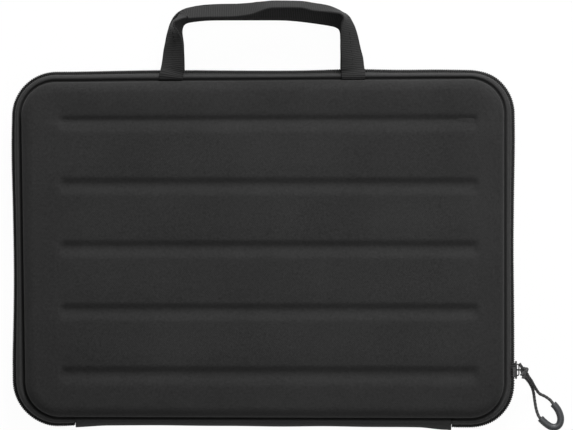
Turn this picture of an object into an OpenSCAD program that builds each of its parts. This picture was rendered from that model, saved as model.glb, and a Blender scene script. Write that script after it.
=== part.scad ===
// Zip-closed moulded laptop case, lying on its rear shell.
// +X runs along the hinged edge, +Y towards the handles, +Z out of the front shell.
// The origin is the middle of the rear face, on the surface that the case lies on.
// Border sections are drawn as (inset from the outline, height) and run round the outline.

/* [Case] */
// Width along the hinged edge, over the zip
case_w = 350; // [300:1:420]
// Height from the hinged edge to the handle edge, over the zip
case_h = 247; // [215:1:300]
// Closed thickness over both flat faces
case_d = 34; // [34:0.5:50]
// Corner radius of the outline, over the zip
corner_r = 31; // [28:1:45]

/* [Shells] */
// Depth of one shell, from its rim to its flat face
shell_d = 10; // [9:0.5:10]
// Wall of the moulded foam
wall = 4; // [2.5:0.25:4.5]
// Rounding of the shell's shoulder
shoulder_r = 8; // [6:0.5:8.5]
// Thickness of the lining cloth
lining_t = 0.8; // [0.5:0.1:1.2]

/* [Grooves] */
// Number of grooves pressed across each face
groove_count = 5; // [3:1:5]
// From the hinged edge, and the handle edge, to the middle of the nearest groove
groove_edge = 36.1; // [28:0.1:56]
// From the case's sides to the grooves' rounded ends
groove_margin = 22.5; // [20:0.5:60]
// Width of a groove at the face
groove_w = 22; // [14:0.5:26]
// Depth of a groove at its middle
groove_depth = 2.3; // [1:0.1:2.4]

/* [Zip] */
// How far the zip stands out from the shell's wall
zip_reach = 5.6; // [5.3:0.1:6]
// Thickness of the zip tape
tape_t = 0.8; // [0.6:0.1:1.2]
// Outer radius of the tape's roll from the rim down to the teeth
tape_r = 5.2; // [4.6:0.1:5.3]
// How far the teeth stand out past the tape
teeth_proud = 0.6; // [0.4:0.1:0.9]
// Depth of a row of teeth, inwards
teeth_w = 2.2; // [1.8:0.1:2.4]
// Height of a row of teeth
teeth_h = 0.9; // [0.7:0.1:1]
// Room between the two rows, where the slider's wedge runs
row_gap = 1; // [0.9:0.1:1.2]
// Width of the binding that covers the raw edges inside
binding_w = 3; // [2:0.1:4]
// Thickness of the binding
binding_t = 0.8; // [0.5:0.1:1]

/* [Hinge] */
// From where the lower corners start to the cloth spine's ends
spine_from_corner = 13; // [2:1:50]
// Thickness of the spine's outer cloth
spine_t = 1.2; // [0.8:0.1:1.6]
// Radius of the spine's outward bow
spine_r = 20; // [16:1:40]
// How far the spine bows out past the outline
spine_out = 1.8; // [1.2:0.1:2.5]

/* [Handles] */
// Distance between a handle's legs
handle_span = 124; // [90:1:140]
// From the handle's fold to the middle of its grip
handle_reach = 45; // [36:1:60]
// Width of the webbing
strap_w = 16; // [12:0.5:20]
// Thickness of the webbing
strap_t = 1.4; // [1:0.1:2]
// Radius of the turn from leg to grip
turn_r = 10; // [9:0.5:16]
// How far the grip is twisted from lying flat
grip_twist = 50; // [30:1:60]
// Length of leg that lies flat before the twist starts
flat_leg = 8; // [4:1:12]

/* [Slider] */
// Length of the slider
slider_l = 12.6; // [11:0.2:14]
// From where the lower right corner starts to the middle of the slider
slider_up = 7; // [5.5:0.5:60]
// Width of the slider's plates
plate_w = 6.8; // [6:0.2:8]
// Width of the plates' narrower tail
tail_w = 5.4; // [4.8:0.2:6]
// Thickness of the slider's plates
plate_t = 1.2; // [0.8:0.1:1.4]
// Thickness of the wedge between the plates
wedge_t = 0.4; // [0.3:0.05:0.45]
// Length of the wedge
wedge_l = 4; // [3:0.2:4.6]
// Where the wedge starts, from the middle of the slider towards its nose
wedge_from = 1; // [0.6:0.1:1.4]
// Length of the bridge that holds the bail
bridge_l = 8.8; // [8:0.2:10]
// Width of the bridge
bridge_w = 2.4; // [2:0.1:3]
// Thickness of the bridge
bridge_t = 0.9; // [0.7:0.1:1.2]
// Thickness of the bail's wire
bail_wire = 1; // [0.8:0.05:1.2]
// Length of the bail between its two bars
bail_l = 4.15; // [4:0.05:5]
// Width of the bail between its two arms
bail_w = 6.2; // [6:0.1:6.6]

/* [Pull] */
// Thickness of the cord
cord_d = 2; // [1.6:0.1:2.1]
// Outer thickness of the grip
grip_d = 4.6; // [4.2:0.1:4.8]
// Radius of the knot
knot_r = 2.4; // [2.2:0.1:2.5]

/* [Corner straps] */
// Width of an elastic corner strap
elastic_w = 20; // [12:1:30]
// Thickness of an elastic corner strap
elastic_t = 1.2; // [0.8:0.1:1.6]
// How far along each side a strap starts from the corner
elastic_reach = 50; // [40:1:70]

/* [Hidden] */
// Clearance between pieces glued or sewn together
glue = 0.1;
// Clearance between pieces that move past each other
fit_gap = 0.3;

mid_z = case_d / 2;
groove_len = case_w - 2 * groove_margin;
groove_pitch = (case_h - 2 * groove_edge) / (groove_count - 1);
rim_z = case_d - shell_d;
half_band = rim_z - mid_z;
corner_x = case_w / 2 - corner_r;
corner_y = case_h / 2 - corner_r;
// Inset at which the borders stop and the flat plates begin
plate_inset = zip_reach + 2 * shoulder_r + 0.4;
inner_inset = zip_reach + wall;
lining_inset = inner_inset + glue;
teeth_z = mid_z + row_gap / 2;
row_top = teeth_z + teeth_h;
tape_z = rim_z - tape_r;
cloth_top = case_d - wall - glue;

spine_w = 2 * (corner_x - spine_from_corner);
// Inset of the spine's inner surface at its folded ends
spine_h = half_band - fit_gap;
spine_c = spine_r - spine_out;
spine_end = spine_c - sqrt(pow(spine_r - spine_t, 2) - pow(spine_h, 2));
strip_start = spine_end + fit_gap;

// The handles' folds lie just outside the shell's wall, over the tape
fold_y = case_h / 2 - zip_reach + 1.6;
fold_lift = 1.2;
foot = 1;
front_fold_z = rim_z + fold_lift;
rear_fold_z = case_d - front_fold_z;
// The rear handle droops until the low edge of its grip meets the surface
grip_drop = strap_w / 2 * sin(grip_twist) + strap_t / 2 * cos(grip_twist);
grip_inner = handle_reach - strap_w / 2 * cos(grip_twist) + strap_t / 2 * sin(grip_twist);
rear_droop = asin((rear_fold_z - grip_drop) / grip_inner);

slider_y = slider_up - corner_y;
plate_x = case_w / 2 + fit_gap;
bridge_x = plate_x + plate_t;
bail_room = bail_wire + 0.5;
bail_x = bridge_x + bail_room / 2;
bail_end = bail_x + bail_l;

// The knot's middle hangs outside the bail's bar and a little below it
knot_offset = [1.1, -0.8, 0];
knot = [bail_end, slider_y, mid_z] + knot_offset;
knot_bore = bail_wire / 2 + 0.15;

// The cord leaves the knot, falls to the surface, runs through the grip and comes back.
// Each point is [x from the knot, y from the knot, height above the surface].
strand_out = [
    [1.9, -2.2, 15.7], [3, -4.2, 13.2], [5.1, -7, 9.9], [7.1, -10.4, 5.9], [9.3, -13.9, 2.6],
    [11.4, -16.5, 1.3], [14.8, -18.2, 1.1], [17.2, -19.7, 1.1], [19, -21.1, 1.5],
    [20.1, -22.5, 2.1]];
grip_points = [
    [20.9, -23.6, 2.4], [23.1, -26.1, 2.4], [24.8, -28.9, 2.4], [25.9, -32, 2.4],
    [26.2, -34.8, 2.4], [25.6, -37.4, 2.4], [24.1, -39.3, 2.4], [21.8, -40.1, 2.4],
    [19.1, -39.6, 2.4], [16.5, -38, 2.4], [14, -35.9, 2.4], [11.9, -33.8, 2.4]];
strand_back = [
    [10.9, -32.5, 1.9], [10, -30.4, 1.3], [9.1, -27.4, 1.1], [8.4, -23.7, 1.1],
    [7.8, -19.7, 1.1], [7.3, -16.2, 1.2], [6.4, -12.9, 2.2], [4.6, -9.5, 5], [2.6, -6.8, 8.4],
    [0.7, -4.6, 11.6], [-0.4, -2.7, 14.8]];
// Short cut tails of the knot, each from its root to its tip, from the knot's centre
tail_d = cord_d - 0.2;
tails = [[[0.7, 1.4, 1.6], [-2.2, 5.6, 5.6]], [[-0.4, -1.5, 0.9], [-1.6, -4.4, 3]]];
function from_knot(points) = [for (p = points) [knot[0] + p[0], knot[1] + p[1], p[2]]];
cord_route = from_knot(concat(strand_out, grip_points, strand_back));
grip_route = from_knot(grip_points);
cord_sides = 8;
grip_sides = 12;

shell_grey = "#303133";
cloth_grey = "#3a3b3d";
dark_grey = "#232426";
webbing_grey = "#38393b";
metal = "#8d8f92";
grip_grey = "#55575b";

// ---- Running a section round the outline ----

// One straight run of the section: its outline at x = reach, from y = a to y = b
module run(reach, a, b)
    translate([reach, b, 0]) rotate([90, 0, 0]) linear_extrude(b - a) mirror([1, 0]) children();

// The section round the whole outline, or stopping gap / 2 from the middle of the hinged edge
module around(gap = 0) {
    for (i = [0 : 3])
        translate([(i == 1 || i == 2 ? -1 : 1) * corner_x, (i > 1 ? -1 : 1) * corner_y, 0])
            rotate([0, 0, 90 * i]) rotate_extrude(angle = 90, $fn = 96)
                translate([corner_r, 0]) mirror([1, 0]) children();
    for (i = [0, 180]) rotate([0, 0, i]) run(case_w / 2, -corner_y, corner_y) children();
    rotate([0, 0, 90]) run(case_h / 2, -corner_x, corner_x) children();
    if (gap == 0)
        rotate([0, 0, 270]) run(case_h / 2, -corner_x, corner_x) children();
    else rotate([0, 0, 270]) {
        run(case_h / 2, -corner_x, -gap / 2) children();
        run(case_h / 2, gap / 2, corner_x) children();
    }
}

// The section along the hinged edge alone, as long as the spine
module along_spine(length)
    rotate([0, 0, 270]) run(case_h / 2, -length / 2, length / 2) children();

// A flat plate whose edge is parallel to the outline
module plate(inset, z, t) {
    r = corner_r - inset;
    translate([0, 0, z]) linear_extrude(t) {
        square([case_w - 2 * inset, 2 * corner_y], center = true);
        square([2 * corner_x, case_h - 2 * inset], center = true);
        for (x = [-corner_x, corner_x], y = [-corner_y, corner_y])
            translate([x, y]) circle(r, $fn = 96);
    }
}

// The rear half mirrors the front half about the zip
module mirrored() translate([0, 0, case_d]) mirror([0, 0, 1]) children();

// ---- Moulded shells ----

// Solid section from z = low to z = top, with a rounded shoulder
module shoulder(inset, r, low, top)
    intersection() {
        translate([inset, low]) square([plate_inset - inset, top - low]);
        union() {
            translate([inset, low - 1]) square([plate_inset - inset, top - r - low + 1]);
            translate([inset + r, low - 1]) square([plate_inset - inset - r, top - low + 1]);
            translate([inset + r, top - r]) circle(r, $fn = 64);
        }
    }

// Half of a groove's section, from its middle outwards, as the tool that presses it
groove_steps = 8;
function groove_z(x) = -groove_depth * (1 + cos(360 * x / groove_w)) / 2;
groove_half = concat(
    [for (i = [0 : groove_steps - 1]) let (x = groove_w / 2 * i / groove_steps) [x, groove_z(x)]],
    [[groove_w / 2, 0], [groove_w / 2, 1], [0, 1]]);

module groove() {
    straight = groove_len / 2 - groove_w / 2;
    for (side = [0, 1]) mirror([0, side, 0]) translate([-straight, 0, 0])
        rotate([90, 0, 90]) linear_extrude(2 * straight) polygon(groove_half);
    for (side = [-1, 1]) translate([side * straight, 0, 0]) rotate([0, 0, -90 * side])
        rotate_extrude(angle = 180, $fn = 64) polygon(groove_half);
}

module shell()
    difference() {
        union() {
            around() difference() {
                shoulder(zip_reach, shoulder_r, rim_z, case_d);
                shoulder(inner_inset, shoulder_r - wall, rim_z - 1, case_d - wall);
            }
            plate(plate_inset, case_d - wall, wall);
        }
        for (i = [0 : groove_count - 1])
            translate([0, (i - (groove_count - 1) / 2) * groove_pitch, case_d]) groove();
    }

// Cloth glued to the inside of a shell, from the binding to the far side
module lining() {
    low = rim_z + binding_w / 2;
    r = shoulder_r - wall - glue;
    around() difference() {
        shoulder(lining_inset, r, low, cloth_top);
        shoulder(lining_inset + lining_t, r - lining_t, low - 1, cloth_top - lining_t);
    }
    plate(plate_inset, cloth_top - lining_t, lining_t);
}

// ---- Zip border ----

// Tape from under the shell's rim, rolled outwards and down to the teeth
module tape_section() {
    roll = teeth_proud + tape_r;
    translate([roll, rim_z - tape_t]) square([inner_inset - roll, tape_t]);
    intersection() {
        translate([teeth_proud, tape_z]) square(tape_r);
        translate([roll, tape_z]) difference() {
            circle(tape_r, $fn = 64);
            circle(tape_r - tape_t, $fn = 64);
        }
    }
    translate([teeth_proud, row_top]) square([tape_t, tape_z - row_top]);
}

// One row of teeth, with a round outer edge
module teeth_section() {
    translate([teeth_h / 2, teeth_z]) square([teeth_w - teeth_h / 2, teeth_h]);
    translate([teeth_h / 2, teeth_z + teeth_h / 2]) circle(teeth_h / 2, $fn = 32);
}

// Binding folded over the raw edges inside, under the rim and up the lining
module binding_section() {
    low = rim_z - tape_t - binding_t;
    translate([inner_inset - binding_w, low]) square([binding_w + glue + binding_t, binding_t]);
    translate([lining_inset, low])
        square([binding_t, rim_z + binding_w / 2 - glue - low]);
}

module zip_tape() around(spine_w + 2 * fit_gap) tape_section();
module zip_teeth() around(spine_w + 2 * fit_gap) teeth_section();
module binding() around() binding_section();

// Sewn edge of the spine cloth under the rim, up to the fold
module hinge_strip() along_spine(spine_w)
    translate([strip_start, rim_z - tape_t]) square([inner_inset - strip_start, tape_t]);

// ---- Spine between the two folds ----

module bowed(radius, t, half_h)
    along_spine(spine_w) intersection() {
        translate([spine_c, mid_z]) difference() {
            circle(radius, $fn = 128);
            circle(radius - t, $fn = 128);
        }
        translate([-spine_out, mid_z - half_h]) square([spine_c, 2 * half_h]);
    }

module spine_panel() color(cloth_grey) bowed(spine_r, spine_t, spine_h);
module spine_lining() color(dark_grey)
    bowed(spine_r - spine_t - glue, lining_t, spine_h - tape_t);

// ---- Webbing handles ----

// Stations along one half of a handle: [x, distance from the fold, heading, share of the twist]
leg_end = handle_reach - turn_r;
leg_step = (leg_end - flat_leg) / 3;
half_route = concat(
    [for (d = [-foot, 0]) [-handle_span / 2, d, 90, 0]],
    [for (i = [0 : 2]) [-handle_span / 2, flat_leg + i * leg_step, 90, i / 6]],
    [for (a = [0 : 15 : 90]) [
        -handle_span / 2 + turn_r * (1 - cos(a)), leg_end + turn_r * sin(a), 90 - a,
        0.5 + a / 180]],
    [for (x = [0.75, 0.5, 0.25, 0]) [-x * (handle_span / 2 - turn_r), handle_reach, 0, 1]]);
other_half = [for (i = [len(half_route) - 2 : -1 : 0]) let (s = half_route[i])
    [-s[0], s[1], -s[2], s[3]]];
handle_route = concat(half_route, other_half);

// The four corners of the webbing at one station
function webbing_ring(s, twist) = let (
    outward = [-sin(s[2]), cos(s[2]), 0],
    a = twist * s[3],
    across = cos(a) * outward + [0, 0, sin(a)],
    through = -sin(a) * outward + [0, 0, cos(a)])
    [for (c = [[-1, -1], [1, -1], [1, 1], [-1, 1]])
        [s[0], s[1], 0] + c[0] * strap_w / 2 * across + c[1] * strap_t / 2 * through];

// Faces of a tube of n-sided rings, closed at both ends
function tube_faces(rings, n) = concat(
    [[for (i = [0 : n - 1]) i]],
    [for (r = [0 : rings - 2], i = [0 : n - 1], half = [0, 1]) let (
        a = r * n + i, b = r * n + (i + 1) % n)
        half == 0 ? [a, a + n, b] : [b, a + n, b + n]],
    [[for (i = [n - 1 : -1 : 0]) (rings - 1) * n + i]]);

module webbing(twist)
    polyhedron([for (s = handle_route) each webbing_ring(s, twist)],
        tube_faces(len(handle_route), 4));

// ---- Zip slider and its pull ----

// Outline of the slider's plates: a round nose and a narrower tail, along x
module slider_outline() {
    nose = slider_l / 2 - plate_w / 2;
    translate([nose, 0]) circle(plate_w / 2, $fn = 48);
    translate([-slider_l / 2, -tail_w / 2]) square([slider_l / 2 + nose, tail_w]);
}

module upright(x, t) translate([x, slider_y, mid_z]) rotate([90, 0, 90]) linear_extrude(t)
    children();

// Bridge over the outer plate, seen along the zip's height
module bridge_section()
    difference() {
        union() {
            translate([0, -bridge_l / 2]) square([bail_room, bridge_l]);
            translate([0, -bridge_l / 2 + bridge_t])
                square([bail_room + bridge_t, bridge_l - 2 * bridge_t]);
            for (s = [-1, 1]) translate([bail_room, s * (bridge_l / 2 - bridge_t)])
                circle(bridge_t, $fn = 32);
        }
        translate([-1, -bridge_l / 2 + bridge_t])
            square([1 + bail_room, bridge_l - 2 * bridge_t]);
    }

module zip_slider() color(metal) {
    inner_x = case_w / 2 - teeth_w - fit_gap;
    upright(plate_x, plate_t) slider_outline();
    upright(inner_x - plate_t, plate_t) slider_outline();
    translate([inner_x, slider_y + wedge_from, mid_z - wedge_t / 2])
        cube([plate_x - inner_x, wedge_l, wedge_t]);
    translate([bridge_x, slider_y, mid_z - bridge_w / 2]) linear_extrude(bridge_w)
        bridge_section();
}

module rod(a, b, d)
    let (v = b - a, l = norm(v))
        translate(a) rotate([0, acos(v[2] / l), atan2(v[1], v[0])]) cylinder(l, d = d, $fn = 24);

// Wire loop: one bar under the bridge, two arms, and one bar that carries the cord
module pull_bail() color(metal) {
    ends = [for (x = [bail_x, bail_end], s = [-1, 1]) [x, slider_y, mid_z + s * bail_w / 2]];
    for (p = [[0, 1], [2, 3], [0, 2], [1, 3]]) rod(ends[p[0]], ends[p[1]], bail_wire);
    for (e = ends) translate(e) sphere(d = bail_wire, $fn = 24);
}

// A round tube swept along a list of points, each ring square to the route there
function direction(p, i) = let (
    v = p[min(i + 1, len(p) - 1)] - p[max(i - 1, 0)]) v / norm(v);
function ring(p, i, r, n) = let (
    t = direction(p, i),
    side = cross(t, [0, 0, 1]) / norm(cross(t, [0, 0, 1])),
    up = cross(side, t))
    [for (k = [0 : n - 1]) p[i] + r * (cos(360 * k / n) * side - sin(360 * k / n) * up)];
function rings(p, r, n) = [for (i = [0 : len(p) - 1]) each ring(p, i, r, n)];

module pull_cord() color(cloth_grey)
    polyhedron(rings(cord_route, cord_d / 2, cord_sides),
        tube_faces(len(cord_route), cord_sides));

// Faces of a tube's wall alone, from point number from on, turned inside out if flip is true
function turned(f, flip) = flip ? [f[2], f[1], f[0]] : f;
function wall_faces(from, rings, n, flip) = [
    for (r = [0 : rings - 2], i = [0 : n - 1], half = [0, 1])
        let (a = from + r * n + i, b = from + r * n + (i + 1) % n)
            turned(half == 0 ? [a, a + n, b] : [b, a + n, b + n], flip)];
// Faces of the ring between an outer and an inner wall at one end
function end_faces(r, rings, n, flip) = [for (i = [0 : n - 1], half = [0, 1])
    let (a = r * n + i, b = r * n + (i + 1) % n, inner = rings * n)
        turned(half == 0 ? [a, b, a + inner] : [b, b + inner, a + inner], flip)];

// Moulded sleeve that the cord runs through, open at both ends
module pull_grip() color(grip_grey) {
    n = grip_sides;
    m = len(grip_route);
    polyhedron(
        concat(rings(grip_route, grip_d / 2, n), rings(grip_route, cord_d / 2 + fit_gap, n)),
        concat(wall_faces(0, m, n, false), wall_faces(m * n, m, n, true),
            end_faces(0, m, n, false), end_faces(m - 1, m, n, true)));
}

// Cord knotted round the bail's outer bar, with two short tails
module pull_knot() color(dark_grey) {
    difference() {
        translate(knot) sphere(knot_r, $fn = 48);
        translate([bail_end, slider_y, 0]) cylinder(case_d, r = knot_bore, $fn = 32);
    }
    for (tail = tails) rod(knot + tail[0], knot + tail[1], tail_d);
}

// ---- Elastic corner straps on the rear lining ----

module corner_strap(sx, sy) color(dark_grey) {
    floor_inset = lining_inset + shoulder_r - wall;
    floor_z = wall + glue + lining_t;
    x = case_w / 2 - floor_inset;
    y = case_h / 2 - floor_inset;
    intersection() {
        plate(floor_inset, floor_z, elastic_t);
        translate([sx * (x - elastic_reach / 2), sy * (y - elastic_reach / 2), floor_z - 1])
            rotate([0, 0, -45 * sx * sy])
                translate([-elastic_reach, -elastic_w / 2, 0])
                    cube([2 * elastic_reach, elastic_w, elastic_t + 2]);
    }
}

// ---- The pieces in place ----

module front_shell() color(shell_grey) shell();
module front_lining() color(dark_grey) lining();
module front_binding() color(dark_grey) binding();
module front_zip_tape() color(cloth_grey) zip_tape();
module front_zip_teeth() color(dark_grey) zip_teeth();
module front_hinge_strip() color(cloth_grey) hinge_strip();
module rear_shell() color(shell_grey) mirrored() shell();
module rear_lining() color(dark_grey) mirrored() lining();
module rear_binding() color(dark_grey) mirrored() binding();
module rear_zip_tape() color(cloth_grey) mirrored() zip_tape();
module rear_zip_teeth() color(dark_grey) mirrored() zip_teeth();
module rear_hinge_strip() color(cloth_grey) mirrored() hinge_strip();
module front_handle() color(webbing_grey)
    translate([0, fold_y, front_fold_z]) webbing(-grip_twist);
module rear_handle() color(webbing_grey)
    translate([0, fold_y, rear_fold_z]) rotate([-rear_droop, 0, 0]) webbing(grip_twist);

rear_shell();
rear_lining();
rear_binding();
rear_zip_tape();
rear_zip_teeth();
rear_hinge_strip();
corner_strap(-1, 1);  // strap_upper_left
corner_strap(1, 1);  // strap_upper_right
corner_strap(-1, -1);  // strap_lower_left
corner_strap(1, -1);  // strap_lower_right
spine_panel();
spine_lining();
front_shell();
front_lining();
front_binding();
front_zip_tape();
front_zip_teeth();
front_hinge_strip();
front_handle();
rear_handle();
zip_slider();
pull_bail();
pull_cord();
pull_knot();
pull_grip();
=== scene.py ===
import math

import bpy
import numpy as np
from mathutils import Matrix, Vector


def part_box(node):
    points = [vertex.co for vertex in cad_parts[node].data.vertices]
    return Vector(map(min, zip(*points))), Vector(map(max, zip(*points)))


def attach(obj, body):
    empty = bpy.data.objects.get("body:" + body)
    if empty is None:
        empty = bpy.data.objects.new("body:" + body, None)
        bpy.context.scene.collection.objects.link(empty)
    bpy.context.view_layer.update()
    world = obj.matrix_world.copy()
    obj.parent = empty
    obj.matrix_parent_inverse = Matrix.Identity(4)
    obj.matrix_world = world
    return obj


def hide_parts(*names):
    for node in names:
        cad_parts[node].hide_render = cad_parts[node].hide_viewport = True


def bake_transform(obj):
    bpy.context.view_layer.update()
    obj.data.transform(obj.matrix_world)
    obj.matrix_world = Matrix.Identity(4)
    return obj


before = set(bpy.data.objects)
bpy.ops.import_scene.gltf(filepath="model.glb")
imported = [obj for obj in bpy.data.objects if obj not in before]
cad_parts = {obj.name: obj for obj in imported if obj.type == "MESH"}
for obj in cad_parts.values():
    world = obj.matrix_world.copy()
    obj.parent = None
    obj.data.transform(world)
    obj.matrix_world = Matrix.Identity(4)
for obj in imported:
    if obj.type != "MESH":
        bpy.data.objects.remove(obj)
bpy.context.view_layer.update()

# A zip-closed moulded laptop case, lying on its rear shell.
# Lengths are in millimetres; add_piece turns them into Blender's metres.
# Border sections are (inset from the outline, height) and run round the outline.
MM = 0.001


def box_mm(node):
    """Lowest and highest corner of a CAD node, in millimetres."""
    low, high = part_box(node)
    return np.array(low) / MM, np.array(high) / MM


TEETH_HIGH = box_mm("front_zip_teeth")[1]
SHELL_LOW, SHELL_HIGH = box_mm("front_shell")
SLIDER_LOW, SLIDER_HIGH = box_mm("zip_slider")
BAIL_LOW, BAIL_HIGH = box_mm("pull_bail")
HALF_W = TEETH_HIGH[0]
HALF_H = TEETH_HIGH[1]
THICK = SHELL_HIGH[2]
MID = THICK / 2
RIM = SHELL_LOW[2]
CORNER_R = 31.0
CORNER_X = HALF_W - CORNER_R
CORNER_Y = HALF_H - CORNER_R
SPINE_HALF = box_mm("spine_panel")[1][0]
ZIP_GAP = 2 * SPINE_HALF + 0.6
SLIDER_Y = (SLIDER_LOW[1] + SLIDER_HIGH[1]) / 2


# ---- Camera ----

PHOTO_MM = 400.3
PHOTO_CENTRE = (16.1, 22.7)
CAMERA_HEIGHT = 2600.0
SENSOR = 36.0


def add_camera():
    """Looks straight down on the case through a long lens, with the handles at the top."""
    data = bpy.data.cameras.new("photo_camera")
    data.sensor_width = SENSOR
    data.lens = SENSOR * CAMERA_HEIGHT / PHOTO_MM
    data.clip_end = 20
    camera = bpy.data.objects.new("photo_camera", data)
    camera.location = (PHOTO_CENTRE[0] * MM, PHOTO_CENTRE[1] * MM, (CAMERA_HEIGHT + MID) * MM)
    bpy.context.scene.collection.objects.link(camera)
    bpy.context.scene.camera = camera


# ---- Finishes ----

class Value:
    """What varies over a surface; an expression on it adds Math nodes to its finish."""

    def __init__(self, finish, socket):
        self.finish = finish
        self.socket = socket

    def _math(self, operation, *terms):
        return self.finish.node("ShaderNodeMath", {"operation": operation}, terms)

    def __add__(self, other):
        return self._math("ADD", self, other)

    def __sub__(self, other):
        return self._math("SUBTRACT", self, other)

    def __rsub__(self, other):
        return self._math("SUBTRACT", other, self)

    def __mul__(self, other):
        return self._math("MULTIPLY", self, other)

    def __pow__(self, other):
        return self._math("POWER", self, other)

    def sine(self):
        return self._math("SINE", self)

    __radd__ = __add__
    __rmul__ = __mul__


class Finish:
    """One material, and the nodes that make its pattern."""

    def __init__(self, name):
        self.material = bpy.data.materials.new(name)
        self.material.use_nodes = True
        self.nodes = self.material.node_tree.nodes
        self.nodes.clear()
        self.links = self.material.node_tree.links

    def node(self, kind, settings, sockets, output=0):
        """Adds a node: its settings first, then its sockets, by number or by name."""
        made = self.nodes.new(kind)
        for setting, value in settings.items():
            setattr(made, setting, value)
        named = sockets.items() if isinstance(sockets, dict) else enumerate(sockets)
        for key, value in named:
            if isinstance(value, Value):
                self.links.new(value.socket, made.inputs[key])
            else:
                made.inputs[key].default_value = value
        return Value(self, made.outputs[output]) if made.outputs else None

    def surface(self, shader):
        """Ends the finish with its output node."""
        self.node("ShaderNodeOutputMaterial", {}, {"Surface": shader})
        return self.material

    def principled(self, colour, normal, roughness, specular, **constants):
        """The shader: a varying colour and relief, and constants on its own sockets."""
        sockets = {"Base Color": colour, "Normal": normal, "Roughness": roughness,
                   "Specular IOR Level": specular}
        sockets.update({key.replace("_", " "): value for key, value in constants.items()})
        return self.surface(self.node("ShaderNodeBsdfPrincipled", {}, sockets))

    def place(self, stretch=(1, 1, 1)):
        """Where a point of the piece is, in metres, with each axis scaled by stretch."""
        where = self.node("ShaderNodeTexCoord", {}, (), output="Object")
        return self.node("ShaderNodeVectorMath", {"operation": "MULTIPLY"}, (where, stretch))

    def noise(self, size, detail=2.0, stretch=(1, 1, 1)):
        """Noise whose blobs are about size millimetres across, from 0 to 1."""
        sockets = {"Vector": self.place(stretch), "Scale": 1 / (size * MM), "Detail": detail}
        return self.node("ShaderNodeTexNoise", {}, sockets)

    def stripes(self, pitch, direction):
        """A sine from 0 to 1 across lines that lie pitch millimetres apart."""
        along = self.node("ShaderNodeVectorMath", {"operation": "DOT_PRODUCT"},
                          (self.place(), direction), output="Value")
        return (along * (2 * math.pi / (pitch * MM))).sine() * 0.5 + 0.5

    def mark(self, name):
        """A share from 0 to 1 that the piece's points carry."""
        return self.node("ShaderNodeAttribute", {"attribute_name": name}, (), output="Fac")

    def shades(self, share, dark, light):
        """A colour between two greys, by share."""
        return self.node("ShaderNodeMix", {"data_type": "RGBA", "clamp_factor": True},
                         {0: share, 6: (*dark, 1), 7: (*light, 1)}, output=2)

    def relief(self, height, depth, strength=0.6):
        """Bump from a height of 0 to 1 that stands for depth millimetres."""
        return self.node("ShaderNodeBump", {},
                         {"Strength": strength, "Distance": depth * MM, "Height": height})


def grey(level, blue=0.0):
    """A grey as it looks on screen, from 0 to 255, as linear values, a little cooler by blue."""
    return tuple(((level + shift) / 255) ** 2.2 for shift in (0, blue * 0.4, blue))


def contrast(noise, gain):
    """Spreads noise about its middle, so that single yarns stand out."""
    return (noise - 0.5) * gain + 0.5


def moulded_cloth():
    """Fine twill knit pressed on the foam: slanting wales, bright flecks, slow unevenness."""
    finish = Finish("shell_cloth")
    wales = finish.stripes(1.05, (0.8, 0.6, 0.5)) * finish.stripes(1.05, (0.6, -0.8, 0.5))
    flecks = contrast(finish.noise(0.9, detail=3), 2.2)
    pills = contrast(finish.noise(1.9), 1.6)
    slow = finish.noise(45, detail=3)
    tone = wales * 0.18 + flecks * 0.36 + pills * 0.22 + slow * 0.3 - 0.08
    relief = finish.relief(wales * 0.5 + flecks * 0.5, 0.14)
    return finish.principled(finish.shades(tone, grey(24), grey(56)), relief, 0.85, 0.18,
                             Sheen_Weight=0.08, Sheen_Roughness=0.4)


def brushed_lining():
    """Soft lining, its short nap lying one way."""
    finish = Finish("lining_cloth")
    nap = contrast(finish.noise(0.8, detail=3, stretch=(1, 0.35, 0.6)), 1.8)
    slow = finish.noise(30, detail=3)
    relief = finish.relief(nap, 0.12)
    return finish.principled(finish.shades(nap * 0.5 + slow * 0.5, grey(36, 2), grey(60, 3)),
                             relief, 0.9, 0.15)


def zip_tape_cloth():
    """Zip tape and spine cloth: fine crosswise weave, with painted shade down in the seam."""
    finish = Finish("tape_cloth")
    ribs = finish.stripes(0.9, (0.7, 0.7, 0.2))
    flecks = contrast(finish.noise(0.9), 1.6)
    # The seam mark paints shade into the colour: the tape goes darker down in the seam's crevice
    # and under the shell's rim.
    seam = finish.mark("seam")
    tone = (ribs * 0.25 + flecks * 0.6 + 0.08) * (1 - seam * 0.85) - seam * 0.25
    relief = finish.relief(ribs * 0.5 + flecks * 0.5, 0.1)
    return finish.principled(finish.shades(tone, grey(25), grey(56)), relief, 0.7, 0.3)


def binding_tape():
    """Narrow ribbed tape over the raw edges, and the thread of the same colour."""
    finish = Finish("binding_cloth")
    ribs = finish.stripes(1.1, (0.7, 0.7, 0.7))
    flecks = finish.noise(0.8)
    relief = finish.relief(ribs, 0.12)
    return finish.principled(finish.shades(ribs * 0.5 + flecks * 0.5, grey(24), grey(46)),
                             relief, 0.8, 0.2)


def ribbed_cloth(name, dark, light, rib_shade_share=0.55):
    """Webbing, elastic or braid: the ribs are modelled, and the yarns in them are here. The
    colour is also painted darker in the hollows between the ribs and lighter on their crests, as
    painted shade.
    """
    finish = Finish(name)
    rib = finish.mark("rib")
    yarns = contrast(finish.noise(0.6, detail=3), 1.6)
    # rib is 1 on the crests: this share of the tone is painted shade in the hollows between the
    # ribs.
    tone = rib * rib_shade_share + yarns * (1 - rib_shade_share)
    return finish.principled(finish.shades(tone, dark, light), finish.relief(yarns, 0.12),
                             0.75, 0.25)


def moulded_plastic(name, dark, light, roughness, size):
    """Dyed plastic or rubber: slow clouding, and a fine grain in the gloss."""
    finish = Finish(name)
    clouds = finish.noise(size, detail=3)
    relief = finish.relief(finish.noise(size / 12), 0.03, strength=0.3)
    return finish.principled(finish.shades(clouds, dark, light), relief, roughness, 0.5)


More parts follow.
